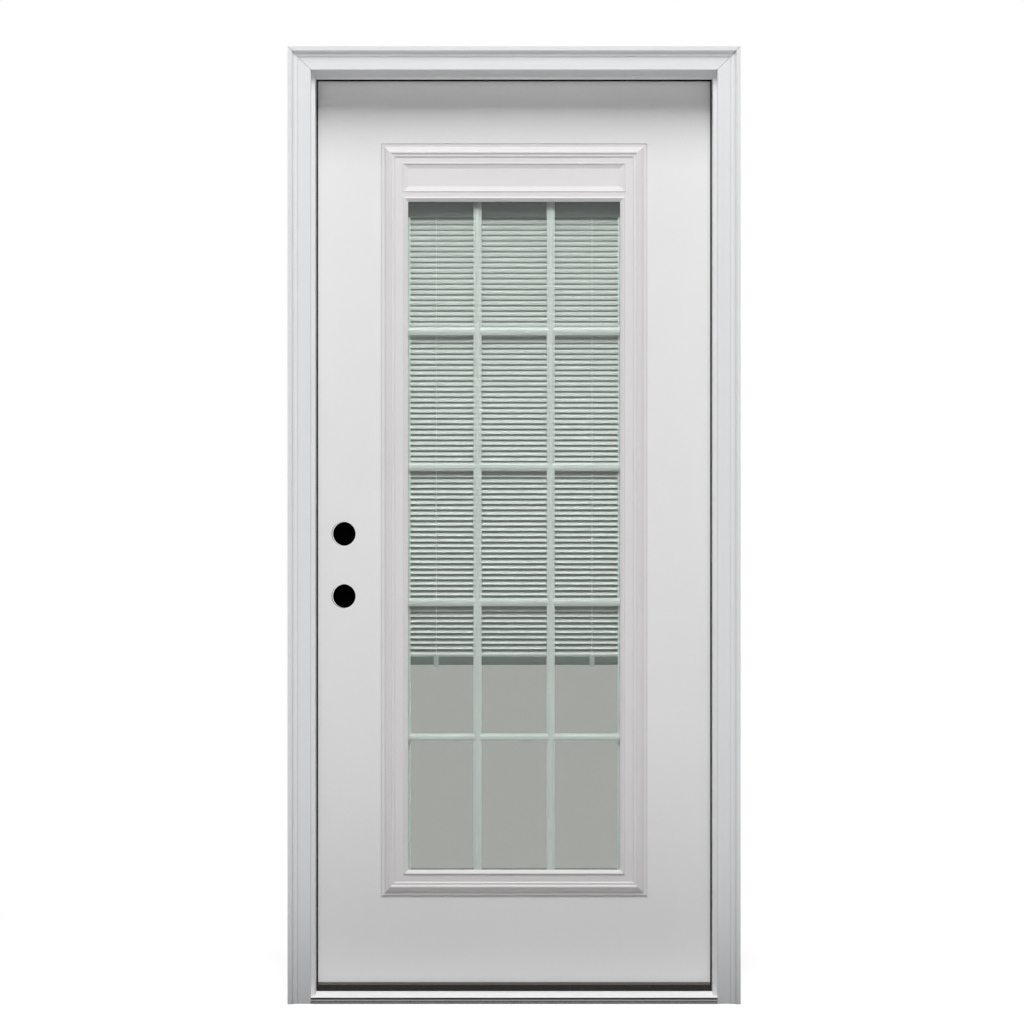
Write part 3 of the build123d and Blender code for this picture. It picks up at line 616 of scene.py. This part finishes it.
# %% Moulded styrene
slider_plastic, tree, output = blank_material("satin_moulded_styrene")
grain = noise(tree, own_place(tree), 0.8, 2.0)
tint = colour_between(tree, "#e6e6e5", "#ececea", grain)
moulded = relief(tree, grain, 0.04, 0.15)
surface(tree, output, {"Roughness": 0.4, "IOR": 1.52}, tint, moulded)
dress(slider_plastic, "blind_operator", "blind_slider")

# %% [markdown]
# # Hinges
# The hinges are stamped steel plated in satin nickel. Plating over a brushed blank gives short scratches
# that run along the leaf, so a noise drawn out along the height changes the roughness and cuts a very
# shallow bump.

# %% Satin nickel
nickel, tree, output = blank_material("satin_nickel_plate_on_steel")
brush = noise(tree, own_place(tree, (1.0, 1.0, 0.05)), 0.5, 3.0)
tint = colour_between(tree, "#b9b6b1", "#cbc8c3", brush)
rough = number_between(tree, 0.26, 0.42, brush)
brushed = relief(tree, brush, 0.03, 0.15)
surface(tree, output, {"Metallic": 1.0}, tint, brushed, rough)
for level in ("top", "middle", "bottom"):
    dress(nickel, f"hinge_{level}_frame_leaf", f"hinge_{level}_door_leaf", f"hinge_{level}_pin")

# %% [markdown]
# # Hinge screws
# Four flat-head screws hold each leaf. A head is a plated disc with a cross stamped into it. It starts as a
# cylinder, its outer face is inset, which lifts the middle a little and leaves a sloping rim, and two small
# blocks that cross each other are cut out of it. One head is made at the origin and then copied to each
# place, and each copy has its own mesh. They show when the door stands open.


# %% Selecting and placing
def pick_faces(piece, test):
    """Selects only those faces of a piece in edit mode whose centre and normal pass the test."""
    bpy.ops.object.mode_set(mode="EDIT")
    bpy.ops.mesh.select_all(action="DESELECT")
    bpy.ops.object.mode_set(mode="OBJECT")
    for face in piece.data.polygons:
        face.select = test(face.center, face.normal)
    bpy.ops.object.mode_set(mode="EDIT")
    bpy.ops.mesh.select_mode(type="FACE")


def only(piece):
    """Makes one object the only selected and active one."""
    bpy.ops.object.select_all(action="DESELECT")
    piece.select_set(True)
    bpy.context.view_layer.objects.active = piece


def copy_to(pattern, name, place, turn, body):
    """A copy of a small piece with its own mesh, turned and put in its place, that moves with a body."""
    piece = bpy.data.objects.new(name, pattern.data.copy())
    bpy.context.scene.collection.objects.link(piece)
    piece.data.transform(Matrix.Translation(place) @ turn)
    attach(piece, body)


# %% One screw head
head_radius = 0.0043
head_thickness = 0.001
cross_length = 0.0046
cross_width = 0.0009
cross_height = 0.0006
bpy.ops.object.select_all(action="DESELECT")
bpy.ops.mesh.primitive_cylinder_add(
    vertices=28, radius=head_radius, depth=head_thickness, location=(0.0, 0.0, 0.0)
)
screw_head = bpy.context.object
screw_head.name = "hinge_screw_pattern"
pick_faces(screw_head, lambda centre, normal: normal.z > 0.9)
bpy.ops.mesh.inset(thickness=0.0008, depth=0.0001)
bpy.ops.mesh.inset(thickness=0.0006, depth=0.0)
bpy.ops.object.mode_set(mode="OBJECT")
for along_x, along_y in ((cross_length, cross_width), (cross_width, cross_length)):
    bpy.ops.mesh.primitive_cube_add(
        size=1.0, location=(0.0, 0.0, cross_height), scale=(along_x, along_y, 0.0007)
    )
    blade = bpy.context.object
    only(screw_head)
    stamp = screw_head.modifiers.new("cross", "BOOLEAN")
    stamp.operation = "DIFFERENCE"
    stamp.solver = "EXACT"
    stamp.object = blade
    bpy.ops.object.modifier_apply(modifier=stamp.name)
    bpy.data.objects.remove(blade)
screw_head.data.materials.clear()
screw_head.data.materials.append(nickel)
print("screw head:", len(screw_head.data.polygons), "faces")

# %% Screws in the leaves
leaf_gap = 0.0025
axis_to_edge = 0.007
proud = 0.0002
screw_spots = ((0.0085, 0.038), (0.0205, 0.0135), (0.0205, -0.0135), (0.0085, -0.038))
facing_door = Matrix.Rotation(math.radians(-90.0), 4, "Y")
facing_jamb = Matrix.Rotation(math.radians(90.0), 4, "Y")
count = 0
for level in ("top", "middle", "bottom"):
    pin_low, pin_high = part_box(f"hinge_{level}_pin")
    leaf_low, leaf_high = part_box(f"hinge_{level}_frame_leaf")
    axis_x = (pin_low.x + pin_high.x) / 2
    axis_y = (pin_low.y + pin_high.y) / 2
    middle = (leaf_low.z + leaf_high.z) / 2
    for inwards, rise in screw_spots:
        count += 1
        y = axis_y - axis_to_edge - inwards
        on_jamb = Vector((axis_x + leaf_gap + proud, y, middle + rise))
        on_door = Vector((axis_x - leaf_gap - proud, y, middle + rise))
        copy_to(screw_head, f"hinge_screw_jamb_{count:02d}", on_jamb, facing_door, "frame")
        copy_to(screw_head, f"hinge_screw_door_{count:02d}", on_door, facing_jamb, "door")
bpy.data.objects.remove(screw_head)
print("hinge screws:", 2 * count)

# %% [markdown]
# # Screw covers
# The two halves of the lite frame are drawn together by screws from the inside of the house, and a small
# domed cover is pressed over each. A cover starts as a short cylinder, and its outer face is inset three
# times and pushed out a little each time, which leaves a low dome with a rim.

# %% One cover
bpy.ops.object.select_all(action="DESELECT")
bpy.ops.mesh.primitive_cylinder_add(vertices=32, radius=0.005, depth=0.001, location=(0.0, 0.0, 0.0))
cover = bpy.context.object
cover.name = "screw_cover_pattern"
pick_faces(cover, lambda centre, normal: normal.z > 0.9)
for inwards, outwards in ((0.0005, 0.0003), (0.0012, 0.0003), (0.0016, 0.0002)):
    bpy.ops.mesh.inset(thickness=inwards, depth=outwards)
bpy.ops.object.mode_set(mode="OBJECT")
only(cover)
bpy.ops.object.shade_smooth_by_angle(angle=math.radians(40.0))
cover.data.materials.clear()
cover.data.materials.append(lite_plastic)
print("cover:", len(cover.data.polygons), "faces")

# %% Covers on the flat of the inside frame
low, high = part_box("lite_frame_interior")
flat_drop = 0.005
cover_lift = 0.0004
cover_y = high.y - flat_drop + cover_lift
flat_inset = 0.041
rows = 5
bottom_row = low.z + 0.049
top_row = high.z - 0.146
facing_room = Matrix.Rotation(math.radians(-90.0), 4, "X")
spots = [(0.0, low.z + flat_inset)]
for row in range(rows):
    z = bottom_row + (top_row - bottom_row) * row / (rows - 1)
    spots += [(low.x + flat_inset, z), (high.x - flat_inset, z)]
for index, (x, z) in enumerate(spots, 1):
    copy_to(cover, f"screw_cover_{index:02d}", Vector((x, cover_y, z)), facing_room, "door")
bpy.data.objects.remove(cover)
print("screw covers:", len(spots))

# %% [markdown]
# # Cards in the bores
# The door is sold bored but without its lock, and its bores show black, as deep holes in shade do. Two
# discs of black card half-way down the bores paint that shade here. They are part of the studio, as the
# floor is, and move with the slab only so that they stay in their bores.

# %% Black card
# painted shade: the black card stands in for the dark deep in the bores
bore_shade_card_black, tree, output = blank_material("black_card_as_painted_shade")
fibre = noise(tree, own_place(tree), 1.5, 3.0)
tint = colour_between(tree, "#020202", "#070707", fibre)
surface(tree, output, {"Roughness": 1.0, "Specular IOR Level": 0.0}, tint)

# %% Two discs
backset = 0.06985
card_radius = 0.0268
outside_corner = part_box("exterior_skin")[0]
inside_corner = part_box("interior_skin")[1]
bore_x = outside_corner.x + backset
card_y = (outside_corner.y + inside_corner.y) / 2
upright = Matrix.Rotation(math.radians(90.0), 4, "X")
for name, bore_z in (("bore_card_lower", 0.904), ("bore_card_upper", 1.0437)):
    bpy.ops.object.select_all(action="DESELECT")
    bpy.ops.mesh.primitive_cylinder_add(vertices=64, radius=card_radius, depth=0.002)
    card = bpy.context.object
    card.name = name
    pick_faces(card, lambda centre, normal: abs(normal.z) > 0.9)
    bpy.ops.mesh.inset(thickness=0.0005, depth=0.0001)
    bpy.ops.object.mode_set(mode="OBJECT")
    card.data.transform(Matrix.Translation((bore_x, card_y, bore_z)) @ upright)
    card.data.materials.append(bore_shade_card_black)
    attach(card, "door")
print("cards at x", round(bore_x, 4), "y", round(card_y, 4))
